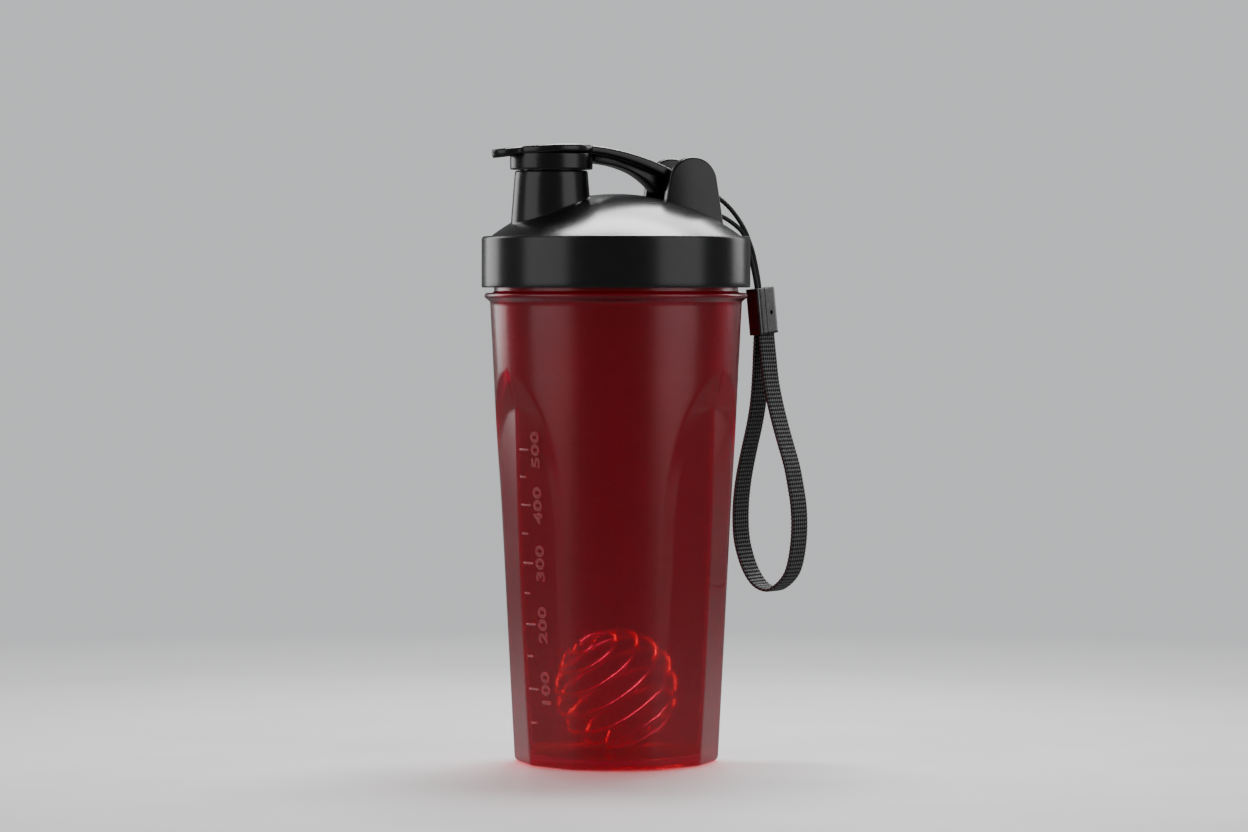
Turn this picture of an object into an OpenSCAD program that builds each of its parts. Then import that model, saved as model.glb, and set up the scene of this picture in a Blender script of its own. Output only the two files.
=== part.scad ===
// Shaker bottle: tapered cup, screw lid with a flip cap, whisk ball and wrist strap.
// Origin: centre of the cup's base. +Z up, +X towards the hinge and the strap, -X towards the spout.

/* [Cup] */
// Outer radius of the cup wall at the base
cup_base_r = 38; // [37.5:0.1:38.5]
// Height of the tapered wall, up to the bead
cup_wall_h = 169.6; // [169:0.1:170]
// Growth of the outer radius for each millimetre of height
cup_taper = 0.0496; // [0.049:0.0001:0.05]
// Thickness of the floor
floor_t = 3.2; // [2.5:0.1:4]
// Height of the cup, up to its rim
rim_z = 189; // [188:0.1:189]
// Outer radius of the threaded neck
neck_r = 45; // [44.8:0.1:45.1]
// Outer radius of the bead under the lid
bead_r = 48.5; // [48:0.1:48.7]

/* [Side panels] */
// Number of sunk panels round the cup
panel_count = 3; // [3:1:3]
// Direction of the middle of the front land between two panels
front_land_a = -111.2; // [-120:0.1:-100]
// Height of the pointed top of a panel
panel_peak_z = 144.3; // [140:0.1:146]
// Wall left between a panel and the bulge that it makes inside
panel_wall = 2; // [1.8:0.1:2.2]
// Height that the measuring marks stand out
mark_h = 0.35; // [0.2:0.05:0.5]

/* [Lid] */
// Outer radius of the lid's skirt
skirt_r = 49.5; // [49.4:0.1:49.8]
// Height of the skirt's lower edge
skirt_z = 174.8; // [174.6:0.1:175]
// Height of the skirt's upper edge
skirt_top_z = 193.7; // [193.5:0.1:194]
// Radius of the domed top
dome_r = 76; // [75:0.5:77]
// Height of the top of the dome
dome_top_z = 209.3; // [209:0.1:209.6]
// Rise of the lid in one turn of its two-start thread
thread_lead = 8; // [8:1:8]

/* [Spout and flip cap] */
// Distance of the spout's axis from the cup's axis
spout_x = 25.2; // [25:0.1:25.5]
// Outer radius of the spout at its mouth
spout_r = 13.35; // [13.2:0.05:13.5]
// Radius of the spout's bore
spout_bore_r = 10.6; // [10.4:0.1:10.8]
// Height of the spout's mouth
spout_z = 217.6; // [217.5:0.1:217.8]
// Outer radius of the flip cap
cap_r = 15.4; // [15.2:0.1:15.6]
// Width of the flip cap's arm
arm_w = 17.8; // [17.6:0.1:17.9]
// Height of the highest point of the arm
arm_top_z = 227.2; // [227:0.1:227.4]

/* [Hinge] */
// Distance of the hinge pin from the cup's axis
pin_x = 25.6; // [25.5:0.1:25.7]
// Height of the hinge pin
pin_z = 213.5; // [213.4:0.1:213.6]
// Radius of the hinge pin
pin_r = 1.5; // [1.4:0.1:1.5]
// Distance from the middle to the outer face of each ear
ear_outer_y = 13.3; // [13.2:0.1:13.5]
// Thickness of each ear
ear_t = 4; // [3.8:0.1:4]

/* [Whisk ball] */
// Outer diameter of the ball
ball_d = 46; // [44:0.5:48]
// Diameter of its wire
wire_d = 2; // [1.8:0.1:2.2]
// Turns of the wire from pole to pole
ball_turns = 8; // [7:1:9]

/* [Strap] */
// Diameter of the braided cord
cord_d = 1.8; // [1.6:0.1:1.8]
// Width of the webbing
web_w = 10.6; // [10:0.1:10.7]
// Thickness of the webbing
web_t = 1.3; // [1.2:0.1:1.3]
// Width of the clasp
clasp_w = 12.6; // [12.6:0.1:12.8]
// Thickness of the clasp
clasp_t = 5.8; // [5.6:0.1:5.9]
// Height of the clasp
clasp_h = 17.2; // [16:0.1:18]

/* [Hidden] */
$fn = 96;
cut = 0.01;                                   // overlap that keeps cuts clean
through = 40;                                 // length of a cutter that passes through anything
cup_red = [0.62, 0.02, 0.06, 0.6];
lid_black = [0.09, 0.09, 0.095];

// Cup
base_fillet = 2;                              // rounding of the base edge
base_dish = [30, 1.2];                        // radius and depth of the hollow under the base
cavity_base_r = 35.9;                         // inner radius just above the floor
cavity_taper = 0.047;                         // growth of the inner radius with height
mouth_r = 43.2;                               // inner radius of the neck
// Panels: outline, ridge and facets, as functions of height
outline_full_z = 90;                          // the outline is full width below this
inner_peak_z = 131.5;                         // top of the flat facets
inner_full_z = 85;                            // the facets are full width below this
// Lid
skirt_inner_r = 47.2;
flange_z = 190.9;                             // underside that presses on the gasket
dome_wall = 2;
dome_c = dome_top_z - dome_r;                 // height of the dome's centre
dome_edge_r = 47.3;
plug_ring = [41.2, 42.8, 186.5];              // inner radius, outer radius and lower end
// Threads: radii of the crests, widths of root and crest, and height of the lowest end
neck_crest_r = 46.7;
skirt_crest_r = 45.6;
ridge_root_w = 2.2;
ridge_crest_w = 1;
neck_thread_z = 176.8;
ridge_steps = 48;
// Flip cap
cap_top_z = 223.9;                            // top of the cap's disc, inside the arm
cap_bore_r = 13.6;                            // inner radius of the cap's skirt
stopper = [8.4, 10.2, 3.6];                   // inner radius, outer radius, depth into the spout
seal = [10.25, 13.3, 0.35];                   // inner radius, outer radius, gap above the spout
arm_step = 3.4;                               // spacing of the points along the arm
arm_end_x = 21;                               // end of the arm's even curve
arm_thin = 3.1;                               // thickness of the arm over the cap
arm_swell = [-6, 0.9, 28];                    // start, growth and length of its thicker end
tip_lip = [0.8, 2.3];                         // top and underside of the tab's tip, below the arm's top
rib_outline = [[-10, 221], [-8, 220.4], [-2.4, 219.6], [3.5, 217.8], [7.4, 215.9], [11.4, 213],
    [14.5, 210], [17, 209], [21, 208.9]];     // underside of the rib, down to the hub
rib_back = [[20, 215.5], [5, 221], [-10, 223.5]];   // its top, inside the arm
ear_r = 9.35;                                 // rounding of the top of an ear
ear_c = [25.6, 213.4];                        // its centre
ear_flare = 9;                                // slope of an ear's sides
tip_x = -48;                                  // end of the thumb tab
tab_r = 7.5;
arm_bend = [-20, 180, 86];                    // crown's x, and the arm's radii before and after it
hub_r = 5;
rib_w = 9;                                    // width of the rib under the arm
pin_clear = 0.07;                             // clearance of the hub on the pin
pin_press = 0.02;                             // clearance of the pin in the ears
pin_head = [1.9, 2.6, 0.9];                   // radii and thickness of the pin's head
pin_blind = 1.7;                              // ear left closed in front of the pin's end
cap_floor_z = 220.4;                          // underside of the cap's disc
cap_low_z = 218;                              // lower edge of the cap's skirt
// Cord bar between the ears
bar_c = [33.5, 207];
bar_r = 2;
// Strap
clasp_c = [57.5, -1, 166.1];
clasp_tilt = 5.5;
clasp_wall = 0.8;
clasp_seam = [-1.7, 0.5];                      // place and width of the seam of the fold
clasp_hole = [1.9, -0.8, 0.9];                // place across and up, and radius of the punched hole
web_dir = 37;                                 // direction of the webbing's width
web_foot = [58.3, -1];                        // where the webbing leaves the clasp
// Webbing route: distance along its loop's plane, and height
web_route = [[-0.9, 161], [-0.9, 157.5], [-1.3, 150], [-1.6, 143], [-2.4, 133], [-4, 124],
    [-6.3, 115], [-8.6, 105], [-9.9, 96], [-10.2, 88], [-9.7, 81], [-8.1, 75], [-5.8, 69.5],
    [-2.5, 65], [0.7, 63], [4.3, 62.3], [7.7, 64], [10.7, 66.7], [12.8, 70], [14.2, 75], [15.1, 81],
    [15.4, 88], [14.9, 95], [13.8, 101], [12.2, 108.5], [9.7, 116], [7.1, 124], [4.8, 132],
    [3, 140], [2, 148], [0.9, 157.5], [0.9, 161]];
// Cord route: up over the lid's edge, round the bar and back
cord_route = [[57, -0.3, 170.5], [56.7, -0.3, 174.5], [56, -0.5, 179], [55, -0.6, 183.7],
    [53.8, -0.7, 188.4], [52.4, -0.8, 192.1], [51, -0.8, 195.5], [49, -0.8, 198.9],
    [46.8, -0.8, 201.9], [44.4, -0.8, 204.6], [41.4, -0.8, 207.2], [37.6, -0.8, 209.8],
    [33.5, -0.8, 210.6], [30.9, -0.8, 209.6], [29.9, -0.8, 207], [30.9, -0.8, 204.4],
    [33.5, -0.8, 203.4], [37, -0.8, 202.9], [40.6, -0.9, 201.6], [44, -0.9, 199.9],
    [47, -1, 197.8], [49.6, -1.1, 195.3], [51.2, -1.2, 191.6], [52.4, -1.3, 187.6],
    [53.5, -1.4, 183.2], [54.4, -1.5, 179], [55.1, -1.7, 174.5], [55.4, -1.7, 170.5]];

// ---------- shared shapes ----------

// Points of an arc about [cx, cz]
function arc(cx, cz, r, a0, a1, n = 5) =
    [for (i = [0:n]) let (a = a0 + (a1 - a0) * i / n) [cx + r * cos(a), cz + r * sin(a)]];

// Two triangles for each side between two rings of n points that start at i and j
function band(i, j, n) = [for (k = [0:n - 1]) let (l = (k + 1) % n)
    each [[i + k, i + l, j + l], [i + k, j + l, j + k]]];

// Closed skin through rings of n points each, given from the first ring to the last
module skin(rings) {
    n = len(rings[0]);
    last = (len(rings) - 1) * n;
    faces = [
        for (i = [0:len(rings) - 2]) each band(i * n, (i + 1) * n, n),
        for (k = [1:n - 2]) each [[0, k + 1, k], [last, last + k, last + k + 1]]
    ];
    polyhedron([for (ring = rings) each ring], faces, convexity = 8);
}

function unit(v) = v / norm(v);

// Rings round a route: side is the direction of the section's first axis
function sweep_rings(route, section, side) = [for (i = [0:len(route) - 1])
    let (t = unit(route[min(i + 1, len(route) - 1)] - route[max(i - 1, 0)]),
         up = unit(cross(side, t)),
         across = cross(t, up))
    [for (p = section) route[i] + p[0] * across + p[1] * up]];

// Half of a two-start thread: one tapered helical ridge, one turn long
module ridge(root_r, crest_r, z, start) {
    rings = [for (i = [0:ridge_steps])
        let (f = i / ridge_steps, a = start + 360 * f, h = z + thread_lead * f,
             s = min(1, 10 * f + 0.15, 10 * (1 - f) + 0.15),
             crest = root_r + s * (crest_r - root_r),
             root = root_r - sign(crest_r - root_r) * 0.3,
             section = [[root, -ridge_root_w / 2], [crest, -ridge_crest_w / 2],
                        [crest, ridge_crest_w / 2], [root, ridge_root_w / 2]])
        [for (p = section) [p[0] * cos(a), p[0] * sin(a), h + p[1]]]];
    skin(crest_r > root_r ? rings : [for (r = rings) [r[3], r[2], r[1], r[0]]]);
}

module thread(root_r, crest_r, z) {
    for (start = [0, 180]) ridge(root_r, crest_r, z, start);
}

// Cylinder along y, from y back to y - h
module cross_pin(x, z, y, r, h, r2 = 0) {
    translate([x, y, z]) rotate([90, 0, 0]) cylinder(r1 = r, r2 = r2 > 0 ? r2 : r, h = h);
}

// ---------- cup ----------

function wall_r(z) = cup_base_r + cup_taper * z;
// Half angle of a panel's outline at height z
function outline_a(z) = let (q = min(1, max(0, (z - outline_full_z) / (panel_peak_z - outline_full_z))))
    (37.6 - 0.02 * z) * pow(max(0, 1 - q * q), 0.55);
// Half angle of its two flat facets
function facet_a(z) = let (q = min(1, max(0, (z - inner_full_z) / (inner_peak_z - inner_full_z))))
    (33.4 - 0.07 * min(z, 75)) * pow(max(0, 1 - q * q), 0.45);
// Slope of the facets away from the ridge between them
function facet_tilt(z) = 12.5 - 5.5 * min(1, max(0, (z - inner_full_z) / (inner_peak_z - inner_full_z)));
// Radius of the ridge between the facets
function ridge_r(z) = 35.92 + 0.0703 * z - 0.000178 * z * z;
function centre_r(z) = z < inner_peak_z ? ridge_r(z) :
    ridge_r(inner_peak_z) + (wall_r(panel_peak_z) - ridge_r(inner_peak_z))
    * (z - inner_peak_z) / (panel_peak_z - inner_peak_z);

// Plan section of the cutter at height z: ridge and facet edges, then past the outline, clear of the wall
function panel_section(z, lift = 0) =
    let (outer_a = outline_a(z), inner = facet_a(z), c = centre_r(z) + lift,
         outer = (wall_r(z) + lift) * [cos(outer_a), sin(outer_a)],
         facet_r = ridge_r(z) * cos(facet_tilt(z)) / cos(inner - facet_tilt(z)),
         mid = inner > 0.3 * outer_a ? facet_r * [cos(inner), sin(inner)]
                                     : 0.6 * [c, 0] + 0.4 * outer,
         proud = outer + 4 * unit(outer - mid) + [0.6 * lift, 0],
         far = [60, proud[1] + 8])
    [[c, 0, z], [mid[0], mid[1], z], [proud[0], proud[1], z], [far[0], far[1], z],
     [far[0], -far[1], z], [proud[0], -proud[1], z], [mid[0], -mid[1], z]];

panel_levels = [-1, 12, 24, 36, 48, 60, 72, 82, 90, 97, 103, 108, 113, 117, 121, 124.5, 127.5,
                130, 132.5, 135, 137.5, 139.7, 141.5, 142.9, 143.8];

module panel_cutter() {
    skin([for (z = panel_levels) panel_section(z), panel_section(panel_peak_z - 0.1, 0.5)]);
}

function panel_dir(i) = front_land_a - 180 / panel_count + 360 / panel_count * i;

// Height of the liquid that holds v cubic millimetres
function level(v) = let (r = 34.9)
    floor_t + (pow(3 * cavity_taper * v / PI + r * r * r, 1 / 3) - r) / cavity_taper;

// Raised measuring marks on one facet, every 50 ml
module measuring_marks() {
    for (i = [1:10]) {
        z = level(50000 * i);
        long = i % 2 == 0;
        translate([ridge_r(z), 0, z]) rotate([0, 0, facet_tilt(z)])
            translate([-0.6, 2.5, -0.4]) cube([0.6 + mark_h, long ? 6 : 3.4, 0.8]);
    }
}

module cup() color(cup_red) {
    difference() {
        union() {
            rotate_extrude() polygon(concat(
                [[0, base_dish[1]], [base_dish[0], base_dish[1]], [base_dish[0] + 1.2, 0]],
                arc(wall_r(2) - base_fillet, base_fillet, base_fillet, -90, 0),
                [[wall_r(cup_wall_h), cup_wall_h], [wall_r(cup_wall_h) + 0.5, cup_wall_h + 0.4]],
                arc(bead_r - 1.1, cup_wall_h + 2.2, 1.1, -70, 90),
                [[neck_r + 0.4, cup_wall_h + 3.3], [neck_r, cup_wall_h + 3.7]],
                arc(neck_r - 0.8, rim_z - 0.8, 0.8, 0, 90),
                arc(mouth_r + 0.5, rim_z - 0.5, 0.5, 90, 180),
                [[mouth_r - 1, rim_z - 2], [0, rim_z - 2]]));
            thread(neck_r, neck_crest_r, neck_thread_z);
        }
        for (i = [0:panel_count - 1]) rotate(panel_dir(i)) panel_cutter();
        difference() {
            rotate_extrude() polygon(concat(
                [[0, floor_t]],
                arc(cavity_base_r - 2.4, floor_t + 2.4, 2.4, -90, 0),
                [[cavity_base_r + cavity_taper * 160, 166], [mouth_r, 170], [mouth_r, rim_z + 1],
                 [0, rim_z + 1]]));
            for (i = [0:panel_count - 1])
                rotate(panel_dir(i)) translate([-panel_wall, 0, 0]) panel_cutter();
        }
    }
    rotate(panel_dir(0)) measuring_marks();
}

// ---------- lid ----------

// Side outline of an ear: a round top on flared sides
module ear_outline() {
    foot_z = 192;
    side = ear_r * [cos(ear_flare), sin(ear_flare)];
    foot = side[0] + (ear_c[1] + side[1] - foot_z) * tan(ear_flare);
    translate([ear_c[0], 0]) union() {
        translate([0, ear_c[1]]) circle(ear_r);
        polygon([[-foot, foot_z], [foot, foot_z], [side[0], ear_c[1] + side[1]],
                 [-side[0], ear_c[1] + side[1]]]);
    }
}

module ears() {
    for (y = [-ear_outer_y + ear_t, ear_outer_y])
        translate([0, y, 0]) rotate([90, 0, 0]) linear_extrude(ear_t) ear_outline();
}

module skirt_profile() {
    polygon(concat(
        [[skirt_inner_r, skirt_z + 0.5], [skirt_inner_r + 0.5, skirt_z]],
        arc(skirt_r - 0.5, skirt_z + 0.5, 0.5, -90, 0),
        arc(skirt_r - 1.2, skirt_top_z - 1.2, 1.2, 0, 90),
        [[dome_edge_r + 0.6, skirt_top_z], [dome_edge_r + 0.2, skirt_top_z - 0.4],
         [dome_edge_r, skirt_top_z - 1.1], [plug_ring[0], skirt_top_z - 1.1],
         [plug_ring[0], flange_z], [skirt_inner_r, flange_z]]));
}

module lid_shell() color(lid_black) {
    difference() {
        union() {
            rotate_extrude() skirt_profile();
            intersection() {
                translate([0, 0, dome_c]) sphere(dome_r);
                translate([0, 0, flange_z]) cylinder(r = dome_edge_r, h = 30);
            }
            translate([-spout_x, 0, flange_z])
                cylinder(r1 = spout_r + 2.1, r2 = spout_r, h = spout_z - flange_z);
            ears();
        }
        intersection() {
            translate([0, 0, dome_c]) sphere(dome_r - dome_wall);
            translate([0, 0, flange_z - 1]) cylinder(r = plug_ring[0], h = 30);
        }
        translate([0, 0, flange_z - 10])
            cylinder(r = plug_ring[0], h = 10 + cut);
        translate([-spout_x, 0, flange_z - 1]) cylinder(r = spout_bore_r, h = through);
        cross_pin(pin_x, pin_z, ear_outer_y + 1, pin_r + pin_press, 2 * ear_outer_y + 1.4 - pin_blind);
    }
    rotate_extrude() translate([plug_ring[0], plug_ring[2]])
        square([plug_ring[1] - plug_ring[0], flange_z - plug_ring[2] + 0.5]);
    thread(skirt_inner_r, skirt_crest_r, neck_thread_z + thread_lead / 4);
    cross_pin(bar_c[0], bar_c[1], ear_outer_y - ear_t / 2, bar_r, 2 * ear_outer_y - ear_t);
}

module lid_gasket() color([0.75, 0.74, 0.72]) {
    rotate_extrude() polygon(concat([[43.4, flange_z]],
        arc(43.9, flange_z - 1.05, 0.5, 180, 270), arc(46.3, flange_z - 1.05, 0.5, -90, 0),
        [[46.8, flange_z]]));
}

// ---------- flip cap ----------

// Height of the arm's top at x
function arm_z(x) = arm_top_z - pow(x - arm_bend[0], 2) / 2 / (x < arm_bend[0] ? arm_bend[1] : arm_bend[2]);
function arm_t(x) = arm_thin + max(0, x - arm_swell[0]) * arm_swell[1] / arm_swell[2];

module arm_side() {
    xs = [each [tip_x + 1:arm_step:arm_end_x], arm_end_x];
    n = len(xs) - 1;
    polygon(concat([[tip_x, arm_z(tip_x) - tip_lip[0]]],
        [for (x = xs) [x, arm_z(x)]],
        [[pin_x + 2, pin_z + hub_r - 0.5], [pin_x, pin_z]],
        [for (i = [n:-1:0]) [xs[i], arm_z(xs[i]) - arm_t(xs[i])]],
        [[tip_x, arm_z(tip_x) - tip_lip[1]]]));
}

module arm_plan() {
    translate([-spout_x, 0]) circle(cap_r);
    translate([tip_x + tab_r, 0]) circle(tab_r);
    translate([tip_x + tab_r, -tab_r]) square([-spout_x - tip_x - tab_r, 2 * tab_r]);
    translate([-spout_x, -arm_w / 2]) square([pin_x + 3 + spout_x, arm_w]);
}

module arm_rib() {
    polygon(concat(rib_outline, [[pin_x, pin_z - hub_r + 0.2], [pin_x, pin_z]], rib_back));
}

module flip_cap() color([0.06, 0.06, 0.065]) {
    difference() {
        union() {
            intersection() {
                translate([0, through / 2, 0]) rotate([90, 0, 0]) linear_extrude(through) arm_side();
                translate([0, 0, cap_low_z - through / 2]) linear_extrude(through) arm_plan();
            }
            translate([0, rib_w / 2, 0]) rotate([90, 0, 0]) linear_extrude(rib_w) arm_rib();
            cross_pin(pin_x, pin_z, arm_w / 2, hub_r, arm_w);
            translate([-spout_x, 0, cap_low_z]) cylinder(r = cap_r, h = cap_top_z - cap_low_z);
        }
        translate([-spout_x, 0, cap_low_z - 1]) cylinder(r = cap_bore_r, h = cap_floor_z - cap_low_z + 1);
        cross_pin(pin_x, pin_z, through / 2, pin_r + pin_clear, through);
    }
    translate([-spout_x, 0, spout_z - stopper[2]]) difference() {
        cylinder(r = stopper[1], h = cap_floor_z - spout_z + stopper[2] + 0.3);
        translate([0, 0, -1]) cylinder(r = stopper[0], h = cap_floor_z - spout_z + stopper[2] + 1);
    }
}

module cap_seal() color([0.75, 0.74, 0.72]) {
    translate([-spout_x, 0, spout_z + seal[2]]) difference() {
        cylinder(r = seal[1], h = cap_floor_z - spout_z - seal[2]);
        translate([0, 0, -1]) cylinder(r = seal[0], h = through);
    }
}

module hinge_pin() color("silver") {
    cross_pin(pin_x, pin_z, ear_outer_y, pin_r, 2 * ear_outer_y - pin_blind);
    cross_pin(pin_x, pin_z, ear_outer_y + pin_head[2], pin_head[0], pin_head[2], pin_head[1]);
}

// ---------- whisk ball ----------

// The wire runs on a sphere from pole to pole; the ball leans as it lies in the cup
module whisk_ball() color("silver") {
    path_r = (ball_d - wire_d) / 2;
    steps = ball_turns * 28;
    pole_a = 6;
    route = [for (i = [0:steps]) let (f = i / steps, lat = -90 + pole_a + (180 - 2 * pole_a) * f,
                                      lon = 360 * ball_turns * f)
        path_r * [cos(lat) * cos(lon), cos(lat) * sin(lon), sin(lat)]];
    rings = [for (i = [0:steps])
        let (t = unit(route[min(i + 1, steps)] - route[max(i - 1, 0)]), up = unit(route[i]),
             across = cross(t, up))
        [for (k = [0:7]) route[i] + wire_d / 2 * (across * cos(45 * k) + up * sin(45 * k))]];
    translate([0, 0, floor_t + ball_d / 2 + 0.3])
        rotate([0, 0, -20]) rotate([25, 0, 0]) rotate([0, -28, 0]) skin(rings);
}

// ---------- strap ----------

module strap_cord() color([0.05, 0.05, 0.05]) {
    section = [for (k = [0:7]) cord_d / 2 * [cos(45 * k), sin(45 * k)]];
    skin(sweep_rings(cord_route, section, [0, 1, 0]));
}

module strap_webbing() color([0.05, 0.05, 0.05]) {
    along = [cos(web_dir - 90), sin(web_dir - 90), 0];
    across = [cos(web_dir), sin(web_dir), 0];
    route = [for (p = web_route) [web_foot[0], web_foot[1], p[1]] + p[0] * along];
    w = web_w / 2;
    t = web_t / 2;
    section = [[w, -0.5 * t], [w, 0.5 * t], [0.94 * w, t], [-0.94 * w, t], [-w, 0.5 * t],
               [-w, -0.5 * t], [-0.94 * w, -t], [0.94 * w, -t]];
    skin(sweep_rings(route, section, across));
}

// Folded sleeve round the ends of the cord and the webbing, closed by a flap
module strap_clasp() color([0.25, 0.25, 0.27]) {
    translate(clasp_c) rotate([0, -clasp_tilt, 0]) rotate(web_dir) difference() {
        translate([-clasp_w / 2, -clasp_t / 2, -clasp_h / 2]) cube([clasp_w, clasp_t, clasp_h]);
        translate([clasp_wall - clasp_w / 2, clasp_wall - clasp_t / 2, -clasp_h])
            cube([clasp_w - 2 * clasp_wall, clasp_t - 2 * clasp_wall, 2 * clasp_h]);
        translate([clasp_seam[0], -clasp_t, -clasp_h]) cube([clasp_seam[1], clasp_t, 2 * clasp_h]);
        cross_pin(clasp_hole[0], clasp_hole[1], -1, clasp_hole[2], clasp_t);
    }
}

cup();
lid_shell();
lid_gasket();
flip_cap();
cap_seal();
hinge_pin();
whisk_ball();
strap_cord();
strap_clasp();
strap_webbing();
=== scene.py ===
"""Shaker bottle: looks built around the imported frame.

Shapes are in millimetres until add() scales them.
"""

from math import atan2, cos, degrees, pi, radians, sin, sqrt, tan

import bmesh
import bpy
import numpy as np
from mathutils import Matrix, Vector


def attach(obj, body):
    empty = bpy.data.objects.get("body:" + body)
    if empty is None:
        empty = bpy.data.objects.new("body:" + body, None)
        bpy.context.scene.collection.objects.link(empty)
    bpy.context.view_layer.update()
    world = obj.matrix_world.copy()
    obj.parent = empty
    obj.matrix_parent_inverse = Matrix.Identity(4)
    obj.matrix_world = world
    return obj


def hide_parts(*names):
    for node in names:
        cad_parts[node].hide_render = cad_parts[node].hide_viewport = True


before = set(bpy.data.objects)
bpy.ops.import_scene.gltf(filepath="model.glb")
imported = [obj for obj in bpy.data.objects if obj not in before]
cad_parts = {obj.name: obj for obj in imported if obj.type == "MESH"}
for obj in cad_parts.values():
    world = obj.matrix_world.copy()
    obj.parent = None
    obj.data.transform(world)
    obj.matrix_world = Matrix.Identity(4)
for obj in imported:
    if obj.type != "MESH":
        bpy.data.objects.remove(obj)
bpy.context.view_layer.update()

scene = bpy.context.scene
MM = 0.001

# ---------- camera ----------

VIEW_AZIMUTH = radians(-20)
VIEW_DISTANCE, VIEW_HEIGHT = 1.75, 0.17465
AIM_ASIDE, AIM_HEIGHT = 0.00295, 0.1275
toward = Vector((sin(VIEW_AZIMUTH), -cos(VIEW_AZIMUTH), 0))
sideways = Vector((cos(VIEW_AZIMUTH), sin(VIEW_AZIMUTH), 0))
camera = bpy.data.objects.new("camera", bpy.data.cameras.new("camera"))
scene.collection.objects.link(camera)
camera.location = toward * VIEW_DISTANCE + Vector((0, 0, VIEW_HEIGHT))
aim = sideways * AIM_ASIDE + Vector((0, 0, AIM_HEIGHT))
camera.rotation_euler = (aim - camera.location).to_track_quat("-Z", "Y").to_euler()
camera.data.lens = 137
camera.data.sensor_width = 36
camera.data.clip_start = 0.05
camera.data.clip_end = 200
scene.camera = camera

# ---------- meshes ----------


def skin(rings, closed=False):
    """Vertices and faces of a shell through rings of equally many points.

    closed joins the last ring to the first. Otherwise a ring without width at an end becomes one point,
    and any other end is closed by one face.
    """
    verts, rows, faces = [], [], []
    for ring in rings:
        ring = np.asarray(ring, float)
        if np.ptp(ring, axis=0).max() < 1e-7:
            rows.append([len(verts)] * len(ring))
            verts.append(tuple(ring[0]))
        else:
            rows.append(list(range(len(verts), len(verts) + len(ring))))
            verts.extend(map(tuple, ring))
    n = len(rows[0])
    for a, b in zip(rows, rows[1:] + rows[:1] if closed else rows[1:]):
        for i in range(n):
            j = (i + 1) % n
            face = list(dict.fromkeys((a[i], a[j], b[j], b[i])))
            if len(face) > 2:
                faces.append(face)
    if not closed:
        for row in (rows[0], rows[-1]):
            if len(set(row)) > 2:
                faces.append(row)
    return verts, faces


def arc(cx, cz, r, start, end, n=6):
    """Points of an arc in a plane; angles in degrees."""
    return [
        (cx + r * cos(radians(a)), cz + r * sin(radians(a)))
        for a in np.linspace(start, end, n + 1)
    ]


def lathe(profile, centre=(0, 0), segments=160, closed=False):
    """Shell turned about a vertical axis from points (radius, height)."""
    turns = np.linspace(0, 2 * pi, segments, endpoint=False)
    c, s = np.cos(turns), np.sin(turns)
    rings = [np.stack([centre[0] + r * c, centre[1] + r * s, np.full(segments, z)], 1) for r, z in profile]
    return skin(rings, closed)


def across(shell, x, z):
    """A shell turned about the vertical axis, laid along Y through (x, z)."""
    verts, faces = shell
    return [(x + a, -h, z + b) for a, b, h in verts], faces


def resample(points, step=None, count=None, ease=0):
    """Points at equal steps along a smooth line through the given ones, and how far along each is.

    ease is how many times the line is smoothed on the way.
    """
    points = np.asarray(points, float)
    ends = np.vstack([2 * points[0] - points[1], points, 2 * points[-1] - points[-2]])
    t = np.linspace(0, 1, 24, endpoint=False)[:, None]
    fine = []
    for a, b, c, d in zip(ends, ends[1:], ends[2:], ends[3:]):
        bend, twist = 2 * a - 5 * b + 4 * c - d, 3 * b - a - 3 * c + d
        fine.append(0.5 * (2 * b + (c - a) * t + bend * t**2 + twist * t**3))
    fine = np.vstack(fine + [points[-1:]])
    for _ in range(ease):
        fine[1:-1] = 0.25 * fine[:-2] + 0.5 * fine[1:-1] + 0.25 * fine[2:]
    along = np.concatenate([[0], np.cumsum(np.linalg.norm(np.diff(fine, axis=0), axis=1))])
    at = np.linspace(0, along[-1], count or int(round(along[-1] / step)) + 1)
    return np.stack([np.interp(at, along, fine[:, k]) for k in range(fine.shape[1])], 1), at


def directions(line):
    """Unit tangents of a line of points."""
    t = np.gradient(line, axis=0)
    return t / np.linalg.norm(t, axis=1)[:, None]


def tube(line, side, width, height, sides=12):
    """Round or oval tube along a line. side is one direction of its section at each point."""
    t = directions(line)
    up = np.cross(t, side)
    up /= np.linalg.norm(up, axis=1)[:, None]
    flat = np.cross(up, t)
    turns = np.linspace(0, 2 * pi, sides, endpoint=False)
    return skin(
        [
            p + np.outer(width * np.cos(turns), f) + np.outer(height * np.sin(turns), u)
            for p, f, u in zip(line, flat, up)
        ]
    )


def inset(outline, by):
    """A closed outline of points (a, b) drawn in by a distance."""
    p = np.asarray(outline, float)
    t = np.roll(p, -1, 0) - np.roll(p, 1, 0)
    t /= np.linalg.norm(t, axis=1)[:, None]
    area = np.sum(p[:, 0] * np.roll(p[:, 1], -1) - np.roll(p[:, 0], -1) * p[:, 1])
    return p + by * np.sign(area) * np.stack([-t[:, 1], t[:, 0]], 1)


def plate(outline, y0, y1, edge):
    """Plate with an outline in X and Z, between two values of Y.

    edge is [(inset, depth), ...] from each face inwards.
    """
    rings = []
    for face, way in ((y0, 1), (y1, -1)):
        made = [np.insert(inset(outline, by), 1, face + way * depth, axis=1) for by, depth in edge]
        rings += made if way == 1 else made[::-1]
    return skin(rings)


def round_edge(r, n=4):
    """Edge for plate(): a quarter round."""
    return [(r - r * sin(a), r - r * cos(a)) for a in np.linspace(0, pi / 2, n)]


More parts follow.
